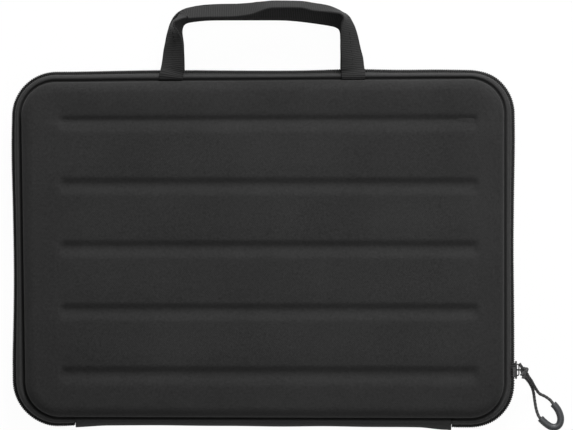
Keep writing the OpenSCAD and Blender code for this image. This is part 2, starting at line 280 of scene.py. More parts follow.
def slider_lacquer():
    """Black lacquer over die-cast metal, with faint runs and rubbed spots."""
    finish = Finish("slider_paint")
    rubbed = finish.noise(1.6, detail=4) ** 4
    relief = finish.relief(finish.noise(0.9), 0.03, strength=0.4)
    return finish.principled(finish.shades(rubbed * 3, grey(12, 1), grey(48, 3)), relief,
                             0.4, 0.4, Coat_Weight=0.2, Coat_Roughness=0.2)


def bail_wire():
    """Steel wire gone dull from handling, with fine drawing marks."""
    finish = Finish("bail_metal")
    marks = finish.noise(0.7, detail=4, stretch=(1, 1, 0.2))
    relief = finish.relief(marks, 0.02, strength=0.4)
    return finish.principled(finish.shades(marks, grey(48, 3), grey(84, 4)), relief,
                             0.4, 0.5, Metallic=1.0)


FINISHES = {
    "shell_cloth": moulded_cloth(),
    "lining_cloth": brushed_lining(),
    "tape_cloth": zip_tape_cloth(),
    "binding_cloth": binding_tape(),
    "teeth_plastic": moulded_plastic("teeth_plastic", grey(12), grey(26), 0.6, 4.0),
    "webbing": ribbed_cloth("webbing", grey(4), grey(49), rib_shade_share=0.8),
    "elastic": ribbed_cloth("elastic", grey(22), grey(42)),
    "slider_paint": slider_lacquer(),
    "bail_metal": bail_wire(),
    "cord": ribbed_cloth("cord", grey(44), grey(80)),
    "grip_rubber": moulded_plastic("grip_rubber", grey(50, 3), grey(66, 4), 0.45, 6.0),
}


# ---- Meshes ----

def add_piece(name, points, faces, slot, body=None, replaces=(), crease=40, marks=()):
    """A mesh piece from points in millimetres. marks are point shares for its finish."""
    mesh = bpy.data.meshes.new(name)
    mesh.from_pydata((np.asarray(points, float) * MM).tolist(), [],
                     [[int(i) for i in face] for face in faces])
    for mark, values in marks:
        layer = mesh.attributes.new(mark, "FLOAT", "POINT")
        layer.data.foreach_set("value", np.asarray(values, np.float32))
    mesh.validate()
    mesh.polygons.foreach_set("use_smooth", [True] * len(mesh.polygons))
    mesh.set_sharp_from_angle(angle=math.radians(crease))
    mesh.materials.append(FINISHES[slot])
    piece = bpy.data.objects.new(name, mesh)
    bpy.context.scene.collection.objects.link(piece)
    if replaces:
        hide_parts(*replaces)
    if body:
        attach(piece, body)
    return piece


def grid_faces(rows, columns, start=0, close_rows=False, close_columns=False):
    """Quads between neighbours in a grid of points that is numbered row by row."""
    r = np.arange(rows if close_rows else rows - 1)[:, None]
    c = np.arange(columns if close_columns else columns - 1)[None, :]
    below = (r + 1) % rows
    beside = (c + 1) % columns
    corners = [r * columns + c, r * columns + beside, below * columns + beside,
               below * columns + c]
    return np.stack([start + corner.ravel() for corner in corners], axis=1).tolist()


def capped_faces(rows, columns):
    """The wall of a tube of rings, numbered ring by ring, and its two end faces."""
    first = list(range(columns))[::-1]
    last = list(range((rows - 1) * columns, rows * columns))
    return grid_faces(rows, columns, close_columns=True) + [first, last]


def flipped(faces):
    """The same faces, turned to look the other way."""
    return [face[::-1] for face in faces]


def joined(parts):
    """Several sets of points and faces as one."""
    points, faces, start = [], [], 0
    for p, f in parts:
        points.append(p)
        faces += [[i + start for i in face] for face in f]
        start += len(p)
    return np.concatenate(points), faces


def merged(points, faces, reach=1e-4):
    """Joins points that lie in one place, and drops faces that then have no area."""
    keys = np.round(np.asarray(points) / reach).astype(np.int64)
    _, first, where = np.unique(keys, axis=0, return_index=True, return_inverse=True)
    where = where.ravel()
    kept = []
    for face in faces:
        new = [int(where[i]) for i in face]
        new = [v for k, v in enumerate(new) if v != new[k - 1]]
        if len(new) > 2:
            kept.append(new)
    return np.asarray(points)[first], kept


def unit(vectors):
    """Each vector at length 1."""
    return vectors / np.linalg.norm(vectors, axis=-1, keepdims=True)


def smooth_step(x, low, high):
    """Rises softly from 0 at low to 1 at high."""
    t = np.clip((x - low) / (high - low), 0, 1)
    return t * t * (3 - 2 * t)


def hump(x, middle, width):
    """A soft bump of height 1 at middle."""
    return np.exp(-((x - middle) / width) ** 2)


def mirrored(points):
    """The rear half mirrors the front half about the zip."""
    return points * [1, 1, -1] + [0, 0, THICK]


def add_half(name, points, faces, slot, half, nodes, marks=()):
    """A piece of the front half as given, or its mirror on the rear half."""
    points = settled(points)
    if half == "rear_half":
        points = mirrored(points)
        faces = flipped(faces)
    return add_piece(name, points, faces, slot, half, nodes, marks=marks)


# ---- How the soft case has settled ----

SEAM_INSET = 6.3


def zip_wander(x, y):
    """How far the zip stands out from a straight line on the left, right, top and bottom."""
    left = 0.15 + 0.98 * hump(y, 70, 34) - 0.62 * hump(y, -22, 38) + 0.3 * hump(y, -78, 18)
    right = 0.4 + 0.4 * hump(y, 76, 24) - 0.5 * hump(y, 0, 36)
    top = (0.22 + 0.38 * hump(x, -62, 36) - 0.8 * hump(x, -145, 38) + 1.05 * hump(x, 64, 27)
           + 0.75 * hump(x, 122, 30) + 0.8 * smooth_step(x, 148, 165))
    bottom = (0.45 + hump(x, -143, 16) - 0.35 * hump(x, -98, 26) - 0.3 * hump(x, 42, 25)
              + 1.25 * smooth_step(x, -80, 140) + 0.65 * smooth_step(x, 126, 136)
              + 0.4 * smooth_step(x, 150, 165))
    return left, right, top, bottom


def seam_wander(x, y):
    """The same for the shells' seams, which run straighter but not quite square."""
    left = -0.95 + 0.015 * y
    right = -0.72
    top = -0.37 + 0.0065 * x - 0.2 * hump(x, -135, 25)
    bottom = 1.6 + 0.003 * x
    return left, right, top, bottom


def settled(points):
    """Moves the border as it lies in use; the middle of the shells stays where it is."""
    p = np.array(points, float)
    x, y = p[:, 0].copy(), p[:, 1].copy()
    beyond = np.abs(x) - CORNER_X, np.abs(y) - CORNER_Y
    in_corner = np.minimum(*beyond) > 0
    inset = CORNER_R - np.where(in_corner, np.hypot(*beyond), np.maximum(*beyond))
    outer = 1 - smooth_step(inset, 0.5, SEAM_INSET)
    pairs = zip(zip_wander(x, y), seam_wander(x, y))
    left, right, top, bottom = (seam + (edge - seam) * outer for edge, seam in pairs)
    near_side = smooth_step(np.abs(x), CORNER_X - 15, CORNER_X + 10)
    near_end = smooth_step(np.abs(y), CORNER_Y - 12, CORNER_Y + 12)
    p[:, 0] += near_side * np.where(x > 0, right, -left)
    p[:, 1] += near_end * np.where(y > 0, top, -bottom)
    return p


# ---- The outline ----

ARC = math.pi / 2 * CORNER_R
PERIMETER = 4 * (CORNER_X + CORNER_Y + ARC)


def outline_at(s):
    """Point on the outline, and its outward direction, at distance s from the middle of
    the hinged edge, going towards +X first."""
    legs = [(CORNER_X, 0), (ARC, 1), (2 * CORNER_Y, 0), (ARC, 1), (2 * CORNER_X, 0), (ARC, 1),
            (2 * CORNER_Y, 0), (ARC, 1), (CORNER_X, 0)]
    point, heading = np.array([0.0, -HALF_H]), 0.0
    for length, turns in legs:
        step = min(s, length)
        if turns:
            side = np.array([-math.sin(heading), math.cos(heading)])
            centre = point + CORNER_R * side
            heading += step / CORNER_R
            point = centre + CORNER_R * np.array([math.sin(heading), -math.cos(heading)])
        else:
            point = point + step * np.array([math.cos(heading), math.sin(heading)])
        s -= step
        if s <= 0:
            break
    return point, np.array([math.sin(heading), -math.cos(heading)])


def stations(distances):
    """Points on the outline and their outward directions, at several distances."""
    rows = [outline_at(s) for s in distances]
    return np.array([r[0] for r in rows]), np.array([r[1] for r in rows])


def swept(distances, section):
    """Points of a section run along the outline, as stations by section points."""
    base, outward = stations(distances)
    section = np.asarray(section, float)
    flat = base[:, None, :] - section[None, :, :1] * outward[:, None, :]
    heights = np.broadcast_to(section[None, :, 1:2], (*flat.shape[:2], 1))
    return np.concatenate([flat, heights], axis=2)


def rounded(section, passes=2):
    """Cuts the corners of a closed outline, so that it turns softly."""
    p = np.asarray(section, float)
    for _ in range(passes):
        following = np.roll(p, -1, axis=0)
        p = np.stack([p * 0.75 + following * 0.25, p * 0.25 + following * 0.75],
                     axis=1).reshape(-1, p.shape[1])
    return p


def arc(centre, radius, start, end, steps):
    """Points on a circle, between two angles in degrees."""
    angles = np.radians(np.linspace(start, end, steps + 1))
    return [[centre[0] + radius * math.cos(a), centre[1] + radius * math.sin(a)]
            for a in angles]


# ---- Moulded shells and their linings ----

GROOVE_PITCH = 43.7
GROOVE_COUNT = 5
GROOVE_LEFT, GROOVE_RIGHT = -141.0, 149.0
GROOVE_END = 3.0
GROOVE_DEPTH = 2.35
GROOVE_ROWS = (0, 0.6, 1.3, 2.0, 2.8, 3.6, 4.4, 5.2, 6.0, 7.0, 8.2, 9.6, 11.4, 13.4, 15.6, 18.6)
CROWN_X = 105.0
CROWN_Y = 70.0
CROWN_DROP_X = 1.9
CROWN_DROP_Y = 0.8
NORTH_LEAD = 1.3
WALL_INSET = 6.9
SHOULDER_R = 8.0
FOAM_INSET = 9.6
FOAM_CEILING = THICK - 4.0
FOAM_R = 4.0


def groove_depth(x, y):
    """Depth of the pressed grooves: a short steep flank towards the hinge, and a steep
    flank with a long soft lead towards the handles. Their ends are soft too."""
    depth = 0
    for i in range(GROOVE_COUNT):
        across = y - (i - (GROOVE_COUNT - 1) / 2) * GROOVE_PITCH
        above = 1 - 0.78 * smooth_step(across, 0.3, 6.2) - 0.22 * smooth_step(across, 1, 16)
        below = 1 - smooth_step(-across, 0.3, 7.8)
        depth = depth + np.where(across > 0, above, below)
    left = smooth_step(x, GROOVE_LEFT - GROOVE_END, GROOVE_LEFT + GROOVE_END)
    right = smooth_step(x, GROOVE_RIGHT - GROOVE_END, GROOVE_RIGHT + GROOVE_END)
    return GROOVE_DEPTH * depth * (left - right)


def face_drop(x, y):
    """How far the moulded face lies below a flat one: crowned, grooved and a little wavy,
    with one more soft dip beyond the groove that is nearest to the handles."""
    shoulder_x, shoulder_y = HALF_W - WALL_INSET - SHOULDER_R, HALF_H - WALL_INSET - SHOULDER_R
    crown_x = np.clip(np.abs(x) - CROWN_X, 0, None) / (shoulder_x - CROWN_X)
    crown_y = np.clip(np.abs(y) - CROWN_Y, 0, None) / (shoulder_y - CROWN_Y)
    lead = NORTH_LEAD * (smooth_step(y, 84, 90) - smooth_step(y, 87, 111))
    lead = lead * (smooth_step(x, -158, -135) - smooth_step(x, 140, 160))
    waves = np.sin(x / 31 + 0.7) * np.sin(y / 19 + x / 90) + np.sin(x / 17 - y / 43)
    return (CROWN_DROP_X * crown_x ** 2 + CROWN_DROP_Y * crown_y ** 2 + lead
            + groove_depth(x, y) + 0.05 * waves)


def puckers(x, y):
    """The glued lining lies in very low waves."""
    return 0.12 - 0.12 * np.sin(x / 13 + y / 29) * np.sin(y / 11 - x / 47)


def tray(section, drop, xs, ys, corner_steps):
    """A tray swept round the outline. The section's rows are (inset, height, share of the
    drop). A single face closes its hidden start, and a grid of the lines xs and ys closes
    the middle field that it ends round."""
    turn = np.linspace(0, ARC, corner_steps + 1)[1:-1]
    right = CORNER_X + ARC
    top = right + 2 * CORNER_Y + ARC
    left = top + 2 * CORNER_X + ARC
    ring = np.concatenate([xs % PERIMETER, CORNER_X + turn,
                           right + CORNER_Y + ys, right + 2 * CORNER_Y + turn,
                           top + CORNER_X + xs, top + 2 * CORNER_X + turn,
                           left + CORNER_Y + ys, left + 2 * CORNER_Y + turn])
    section = np.asarray(section, float)
    sides = swept(ring, section[:, :2]).transpose(1, 0, 2)
    shares = np.repeat(section[:, 2], len(ring))
    field = np.array([[x, y, section[-1, 1]] for y in ys for x in xs])
    points = np.concatenate([sides.reshape(-1, 3), field])
    shares = np.concatenate([shares, np.full(len(field), section[-1, 2])])
    points[:, 2] -= shares * drop(points[:, 0], points[:, 1])
    faces = grid_faces(len(section), len(ring), close_columns=True)
    faces += [list(range(len(ring)))[::-1]]
    faces += grid_faces(len(ys), len(xs), start=sides.shape[0] * sides.shape[1])
    return merged(points, faces)


def shell_section():
    """From the inner ceiling over the rim and the rounded shoulder to the middle field."""
    inside = arc((FOAM_INSET + FOAM_R, FOAM_CEILING - FOAM_R), FOAM_R, 90, 180, 5)
    rim = [[FOAM_INSET, RIM + 0.05], [8.5, RIM + 0.05], [7.6, RIM + 0.3],
           [7.1, RIM + 0.9], [WALL_INSET, RIM + 1.7]]
    foot = THICK - SHOULDER_R
    shoulder = arc((WALL_INSET + SHOULDER_R, foot), SHOULDER_R, 180, 90, 14)
    face = [[u, THICK] for u in np.linspace(WALL_INSET + SHOULDER_R + 1.5, CORNER_R, 11)]
    return ([[u, z, 0] for u, z in inside + rim]
            + [[u, z, (z - foot) / SHOULDER_R] for u, z in shoulder + face])


def add_shell(name, half, node):
    """Foam shell under its cloth, with lines of points that crowd in at the grooves."""
    offsets = np.array(GROOVE_ROWS)
    row = np.concatenate([-offsets[:0:-1], offsets])
    centres = (np.arange(GROOVE_COUNT) - (GROOVE_COUNT - 1) / 2) * GROOVE_PITCH
    ys = np.concatenate([centre + row for centre in centres])
    ys = np.concatenate([[-CORNER_Y], ys[np.abs(ys) < CORNER_Y - 0.3], [CORNER_Y]])
    ends = np.linspace(-GROOVE_LEFT - GROOVE_END - 1, CORNER_X, 7)
    xs = np.concatenate([-ends[::-1], np.linspace(-ends[0], ends[0], 48)[1:-1], ends])
    points, faces = tray(shell_section(), face_drop, xs, ys, 18)
    return add_half(name, points, faces, "shell_cloth", half, [node])


LINING = 0.8
LINING_GAP = 0.1


def add_lining(name, half, node):
    """Lining inside the foam, from its ceiling down to the binding."""
    hidden = FOAM_INSET + LINING_GAP
    r = FOAM_R - LINING_GAP
    top = FOAM_CEILING - LINING_GAP
    low = RIM + 1.5
    centre = (hidden + r, top - r)
    section = (arc(centre, r, 90, 180, 5) + [[hidden, low], [hidden + LINING, low]]
               + arc(centre, r - LINING, 180, 90, 6))
    section = [[u, z, 0] for u, z in section]
    section += [[18, top - LINING, 1], [CORNER_R, top - LINING, 1]]
    xs = np.linspace(-CORNER_X, CORNER_X, 30)
    ys = np.linspace(-CORNER_Y, CORNER_Y, 30)
    points, faces = tray(section, puckers, xs, ys, 10)
    return add_half(name, points, flipped(faces), "lining_cloth", half, [node])


# ---- Zip border ----

TAPE_SECTION = [
    [9.5, 23.95], [8.2, 23.95], [7.4, 23.5], [6.7, 22.7], [6.1, 22.3], [5.5, 22.6],
    [5.1, 23.4], [4.5, 23.9], [3.8, 23.9], [3.2, 23.5], [2.7, 22.6], [2.4, 21.4],
    [2.2, 20.0], [2.2, 18.5], [3.0, 18.5], [3.0, 19.8], [3.2, 20.9], [3.5, 21.9],
    [4.0, 22.4], [4.6, 21.9], [5.4, 21.4], [6.2, 21.5], [7.1, 22.4], [7.6, 23.2],
    [9.5, 23.2]]
# Insets over which the painted shade in the seam sets in, from none towards the teeth to full
# under the shell's rim.
SEAM_SHADE_FROM, SEAM_SHADE_TO = 5.1, 5.9
TAPE_STEP = 2.4


def add_tape(name, half, node):
    """Zip tape rolled outwards from the shell's seam, with a gap for the spine."""
    section = rounded(TAPE_SECTION, passes=1)
    steps = int(round((PERIMETER - ZIP_GAP) / TAPE_STEP))
    distances = np.linspace(ZIP_GAP / 2, PERIMETER - ZIP_GAP / 2, steps + 1)
    points = swept(distances, section)
    n, m = points.shape[:2]
    # Share of painted shade in the seam: 0 towards the teeth, 1 from the seam inwards under the
    # shell's rim.
    seam = smooth_step(section[:, 0], SEAM_SHADE_FROM, SEAM_SHADE_TO)
    add_half(name, points.reshape(-1, 3), capped_faces(n, m), "tape_cloth", half, [node],
             marks=[("seam", np.tile(seam, n))])


TOOTH_PITCH = 1.5
TOOTH_W = 1.05
TOOTH_SIDES = 8
TOOTH_RINGS = [(3.1, 1.0), (0.55, 1.0), (0.2, 0.86), (0.02, 0.5)]
TOOTH_LOW, TOOTH_HIGH = 17.15, 18.8
REAR_RECESS = 0.3


def add_teeth(name, half, node, shift, recess):
    """One coil tooth every pitch, rounded at its outer end, all in one row."""
    distances = np.arange(ZIP_GAP / 2 + shift + 0.6, PERIMETER - ZIP_GAP / 2 - 0.6, TOOTH_PITCH)
    base, outward = stations(distances)
    along = np.stack([-outward[:, 1], outward[:, 0]], axis=1)
    angles = 2 * math.pi * (np.arange(TOOTH_SIDES) + 0.5) / TOOTH_SIDES
    middle, half_z = (TOOTH_LOW + TOOTH_HIGH) / 2, (TOOTH_HIGH - TOOTH_LOW) / 2
    rings = []
    for u, share in TOOTH_RINGS:
        for a in angles:
            flat = base - (u + recess) * outward + share * TOOTH_W / 2 * math.cos(a) * along
            height = np.full((len(base), 1), middle + share * half_z * math.sin(a))
            rings.append(np.concatenate([flat, height], axis=1))
    points = np.stack(rings, axis=1).reshape(-1, 3)
    one = capped_faces(len(TOOTH_RINGS), TOOTH_SIDES)
    faces = [[i + len(rings) * k for i in face] for k in range(len(base)) for face in one]
    return add_half(name, points, faces, "teeth_plastic", half, [node])


BINDING_SECTION = [
    [7.8, 22.35], [7.4, 22.7], [7.7, 23.1], [9.3, 23.1], [9.7, 23.4], [9.7, 25.1],
    [10.1, 25.45], [10.6, 25.1], [10.7, 23.4], [10.5, 22.6], [10.0, 22.3]]
BINDING_STEP = 4.0


def add_binding(name, half, node):
    """Tape folded over the raw edges inside, all the way round."""
    points = swept(np.arange(0, PERIMETER - 1, BINDING_STEP), rounded(BINDING_SECTION, 1))
    n, m = points.shape[:2]
    faces = flipped(grid_faces(n, m, close_rows=True, close_columns=True))
    add_half(name, points.reshape(-1, 3), faces, "binding_cloth", half, [node])


# ---- Cloth spine ----

SPINE_OUTER = [
    [9.4, 23.95], [8.2, 23.95], [7.4, 23.5], [6.7, 22.8], [6.1, 22.5], [5.5, 22.8],
    [4.7, 23.4], [3.8, 23.7], [2.7, 23.5], [1.6, 22.8], [0.7, 21.7], [0.1, 20.4],
    [-0.3, 19.2], [-0.5, 18.1], [-0.6, 17.0]]
SPINE_INNER = [
    [0.7, 17.0], [0.8, 18.2], [1.1, 19.4], [1.6, 20.5], [2.3, 21.4], [3.2, 21.95],
    [4.3, 21.9], [5.3, 21.5], [6.1, 21.3], [6.9, 21.9], [7.4, 22.9], [9.4, 23.15]]
FLARE_FROM, FLARE_TO = 108.0, 127.0
FLARE_LEFT, FLARE_RIGHT = 0.6, 1.4


def add_spine_cloth(name, half, nodes):
    """Half of the spine's cloth, from the shell's seam to the middle of the spine. It
    stands out a little further towards both ends, and its inner side is lining."""
    section = np.array(SPINE_OUTER + SPINE_INNER)
    xs = np.linspace(-SPINE_HALF, SPINE_HALF, 86)
    bulge = np.where(xs > 0, FLARE_RIGHT, FLARE_LEFT)
    flare = smooth_step(np.abs(xs), FLARE_FROM, FLARE_TO) * bulge
    near_middle = 1 - smooth_step(section[:, 1], 18.5, 22.5)
    slack = 0.12 * np.sin(xs / 21 + 1) + 0.08 * np.sin(xs / 9)
    y = -HALF_H + section[None, :, 0] - (flare + slack)[:, None] * near_middle[None, :]
    n, m = y.shape
    x = np.broadcast_to(xs[:, None], y.shape)
    z = np.broadcast_to(section[None, :, 1], y.shape)
    points = settled(np.stack([x, y, z], axis=2).reshape(-1, 3))
    faces = capped_faces(n, m)
    ends = np.array([[0, -HALF_H - 0.5, 20.5], [0, -HALF_H + 4.5, 23.7]])
    if half == "rear_half":
        points, faces, ends = mirrored(points), flipped(faces), mirrored(ends)
    # Share of painted shade in the seam: 0 towards the spine's middle, 1 from the seam inwards
    # under the shell's rim.
    seam = smooth_step(section[:, 0], SEAM_SHADE_FROM, SEAM_SHADE_TO)
    piece = add_piece(name, points, faces, "tape_cloth", replaces=nodes,
                      marks=[("seam", np.tile(seam, n))])
    piece.data.materials.append(FINISHES["lining_cloth"])
    for polygon in piece.data.polygons:
        if min(v % m for v in polygon.vertices) >= len(SPINE_OUTER):
            polygon.material_index = 1
    middle, seamed = ends * MM
    if half == "front_half":
        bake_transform(piece)
    else:
        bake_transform(piece)


# ---- Tubes and bands along a path ----

def smooth_path(points, step):
    """A curve through all the points, with points about step apart."""
    p = np.asarray(points, float)
    p = np.concatenate([[2 * p[0] - p[1]], p, [2 * p[-1] - p[-2]]])
    fine = []
    for i in range(1, len(p) - 2):
        a, b, c, d = p[i - 1:i + 3]
        n = max(2, int(np.linalg.norm(c[:3] - b[:3]) / step * 3))
        for t in np.arange(n) / n:
            fine.append(0.5 * (2 * b + (c - a) * t + (2 * a - 5 * b + 4 * c - d) * t ** 2
                               + (3 * b - a - 3 * c + d) * t ** 3))
    fine.append(p[-2])
    fine = np.array(fine)
    steps = np.linalg.norm(np.diff(fine[:, :3], axis=0), axis=1)
    length = np.concatenate([[0], np.cumsum(steps)])
    even = np.linspace(0, length[-1], int(length[-1] / step) + 1)
    return np.stack([np.interp(even, length, fine[:, k]) for k in range(fine.shape[1])],
                    axis=1)


def rings_round(path, sides):
    """Unit rings square to the path, carried along it without twist."""
    t = unit(np.gradient(path, axis=0))
    start = np.cross(t[0], [0, 0, 1.0])
    if np.linalg.norm(start) < 0.1:
        start = np.cross(t[0], [1.0, 0, 0])
    across = [unit(start)]
    for direction in t[1:]:
        across.append(unit(across[-1] - np.dot(across[-1], direction) * direction))
    across = np.array(across)
    through = np.cross(t, across)
    angles = 2 * math.pi * np.arange(sides) / sides
    return (np.cos(angles)[None, :, None] * across[:, None, :]
            + np.sin(angles)[None, :, None] * through[:, None, :])


def tube(path, radius, sides):
    """Points and faces of a solid tube; radius is a number, or a table of ring by side."""
    r = np.broadcast_to(np.asarray(radius, float), (len(path), sides))
    points = path[:, None, :] + r[:, :, None] * rings_round(path, sides)
    return points.reshape(-1, 3), capped_faces(len(path), sides)


# ---- Pull cord, knot and grip ----

WIRE_R = 0.5
CORD_D = 2.0
CORD_STEP = 0.25
GRIP_D = 4.6
GRIP_EDGE = 0.3
GRIP_BORE = 1.3
CORD_FULL = 1.12
GRIP_FULL = 1.08
KNOT = np.array([BAIL_HIGH[0] - WIRE_R + 1.1, SLIDER_Y - 0.8, MID])
# Rows of x and y from the knot, and height above the floor
STRAND_OUT = [
    [1.9, -2.2, 15.7], [3.0, -4.2, 13.2], [5.1, -7.0, 9.9], [7.1, -10.4, 5.9],
    [9.3, -13.9, 2.6], [11.4, -16.5, 1.3], [14.8, -18.2, 1.1], [17.2, -19.7, 1.1],
    [19.0, -21.1, 1.5], [20.1, -22.5, 2.1]]
GRIP_POINTS = [
    [20.9, -23.6, 2.4], [23.1, -26.1, 2.4], [24.8, -28.9, 2.4], [25.9, -32.0, 2.4],
    [26.2, -34.8, 2.4], [25.6, -37.4, 2.4], [24.1, -39.3, 2.4], [21.8, -40.1, 2.4],
    [19.1, -39.6, 2.4], [16.5, -38.0, 2.4], [14.0, -35.9, 2.4], [11.9, -33.8, 2.4]]
STRAND_BACK = [
    [10.9, -32.5, 1.9], [10.0, -30.4, 1.3], [9.1, -27.4, 1.1], [8.4, -23.7, 1.1],
    [7.8, -19.7, 1.1], [7.3, -16.2, 1.2], [6.4, -12.9, 2.2], [4.6, -9.5, 5.0],
    [2.6, -6.8, 8.4], [0.7, -4.6, 11.6], [-0.4, -2.7, 14.8]]
BRAID_TURN = 2.6
BRAID_STRANDS = 4


def from_knot(points):
    """Route points are measured from the knot, apart from their height."""
    return np.array(points, float) + [KNOT[0], KNOT[1], 0]


def braided(path, diameter, sides=16):
    """A braided cord: two sets of yarns that wind opposite ways and cross."""
    step = np.linalg.norm(path[1] - path[0])
    s = np.arange(len(path))[:, None] * step * 2 * math.pi / BRAID_TURN
    angle = 2 * math.pi * np.arange(sides)[None, :] / sides * BRAID_STRANDS / 2
    yarns = np.maximum(np.cos(angle + s), np.cos(angle - s))
    points, faces = tube(path, diameter / 2 * (0.93 + 0.07 * yarns), sides)
    return points, faces, np.clip(yarns, 0, 1).ravel()


def add_cord():
    """One braided loop, out through the grip and back to the knot, and its middle line."""
    path = smooth_path(from_knot(STRAND_OUT + GRIP_POINTS + STRAND_BACK), CORD_STEP)
    points, faces, rib = braided(path, CORD_D * CORD_FULL)
    cord = add_piece("cord_braid", points, faces, "cord", "pull", ["pull_cord"],
                     marks=[("rib", rib)])
    return cord, path


# Rows of x, y and z from the knot's middle; the first two are the tails of the loop
KNOT_STRANDS = [
    [[-1.4, -5.2, 3.2], [-1.1, -3.9, 3.2], [-0.6, -2.4, 3.1], [0.0, -0.9, 2.9],
     [0.9, 0.4, 2.6], [1.55, 1.15, 1.6], [1.5, 1.5, 0.2], [0.9, 1.4, -1.2],
     [0.2, 0.9, -1.8], [-0.1, 0.0, -1.5]],
    [[-4.0, 5.4, 5.4], [-3.3, 4.4, 5.2], [-2.6, 3.3, 4.6], [-1.8, 2.1, 3.4],
     [-0.8, 0.9, 2.0], [0.0, -0.2, 0.8]],
    [[-1.2, 0.4, 1.4], [-1.0, 1.4, 1.9], [-0.2, 1.7, 1.9], [0.8, 1.5, 1.4],
     [1.5, 0.9, 0.2], [1.3, -0.2, -1.0], [0.6, -1.0, -1.6], [0.1, -1.1, -1.2]],
    [[0.2, -0.6, 1.8], [-0.7, -1.0, 3.0], [-1.6, -1.6, 3.9], [-2.3, -2.3, 4.3],
     [-2.6, -3.0, 4.2]],
    [[0.0, -0.4, 1.2], [-0.3, -1.8, 2.0], [-0.3, -3.2, 1.2], [0.2, -4.0, -0.2],
     [0.8, -3.2, -1.2], [0.9, -1.8, -1.0], [0.4, -0.4, -0.2]],
    [[0.6, -1.2, 1.6], [-0.6, -1.3, 2.3], [-1.9, -0.4, 2.5], [-2.3, 0.7, 2.5],
     [-1.7, 1.7, 2.3], [-0.7, 2.0, 1.2], [0.3, 1.3, 0.2]],
    [[-0.3, 0.3, 0.4], [0.5, -0.5, 0.0], [1.2, -1.4, -0.7], [2.0, -2.4, -1.5]],
    [[-0.3, 0.2, 0.5], [-0.2, -0.9, -0.6], [-0.3, -1.9, -1.5], [-0.4, -2.8, -2.4]]]


def add_knot():
    """The loop's knot round the bail, as short strands that cross, with two tails."""
    parts, ribs = [], []
    for strand in KNOT_STRANDS:
        path = smooth_path(KNOT + np.array(strand), CORD_STEP)
        points, faces, rib = braided(path, CORD_D * CORD_FULL)
        parts.append((points, faces))
        ribs.append(rib)
    points, faces = joined(parts)
    return add_piece("cord_knot", points, faces, "cord", "pull", ["pull_knot"],
                     marks=[("rib", np.concatenate(ribs))])


def add_grip():
    """Moulded sleeve, its square ends slightly rounded, with a bore from end to end."""
    path = smooth_path(from_knot(GRIP_POINTS), 0.5)
    sides, edge, last = 28, GRIP_EDGE, len(path) - 1
    t = unit(np.gradient(path, axis=0))
    ring = rings_round(path, sides)
    full = GRIP_D * GRIP_FULL / 2
    loops = [(0, full - edge, 0), (0, full - edge * 0.3, edge * 0.3)]
    loops += [(i, full, 0) for i in range(1, last)]
    loops += [(last, full - edge * 0.3, -edge * 0.3), (last, full - edge, 0)]
    loops += [(i, GRIP_BORE, 0) for i in range(last, -1, -1)]
    points = np.concatenate([path[i] + shift * t[i] + r * ring[i] for i, r, shift in loops])
    faces = grid_faces(len(loops), sides, close_rows=True, close_columns=True)
    return add_piece("cord_grip", points, faces, "grip_rubber", "pull", ["pull_grip"],
                     crease=50)


# ---- Webbing handles ----

STRAP_W = 16.4
STRAP_T = 1.4
RIB_PITCH = 1.25
RIB_DEPTH = 0.12
RIB_STEPS = 5
# Rows of x, y, height, and degrees of twist from lying flat
FRONT_ROUTE = [
    [-64.5, 117.2, 23.6, 0], [-64.5, 117.9, 24.4, 0], [-64.4, 119.0, 24.9, 0],
    [-64.2, 120.4, 25.0, 0], [-63.9, 121.6, 24.9, -1], [-63.6, 122.8, 24.8, -3],
    [-63.3, 124.4, 24.9, -7], [-63.0, 126.5, 25.2, -12], [-62.7, 131.0, 25.4, -20],
    [-62.5, 137.0, 25.4, -30], [-62.0, 142.2, 25.4, -41], [-62.2, 147.1, 25.4, -54],
    [-62.8, 150.8, 26.2, -66], [-63.2, 154.4, 26.7, -80], [-62.2, 157.2, 26.8, -84],
    [-59.2, 159.2, 26.6, -80], [-56.0, 161.4, 26.2, -71], [-52.5, 162.9, 25.8, -62],
    [-39.5, 164.2, 25.8, -58], [-29.7, 164.6, 25.8, -56], [-19.2, 165.1, 25.8, -55],
    [-9.4, 166.1, 25.8, -58], [-3.8, 167.4, 25.8, -63], [2.4, 168.7, 25.8, -69],
    [8.7, 169.3, 25.8, -70], [25.5, 169.1, 25.8, -71], [34.6, 167.5, 25.8, -69],
    [43.9, 166.2, 25.9, -71], [50.2, 164.7, 26.4, -77], [54.8, 163.0, 26.7, -82],
    [57.2, 160.4, 26.4, -75], [58.0, 157.0, 26.0, -63], [58.8, 153.0, 25.8, -53],
    [59.8, 146.4, 25.4, -42], [60.4, 141.1, 25.4, -35], [61.1, 135.9, 25.4, -28],
    [61.9, 131.0, 25.4, -20], [62.1, 126.5, 25.2, -12], [62.3, 124.4, 24.9, -7],
    [62.4, 122.8, 24.8, -3], [62.5, 121.6, 24.9, -1], [62.6, 120.4, 25.0, 0],
    [62.6, 119.0, 24.9, 0], [62.6, 117.9, 24.4, 0], [62.6, 117.2, 23.6, 0]]
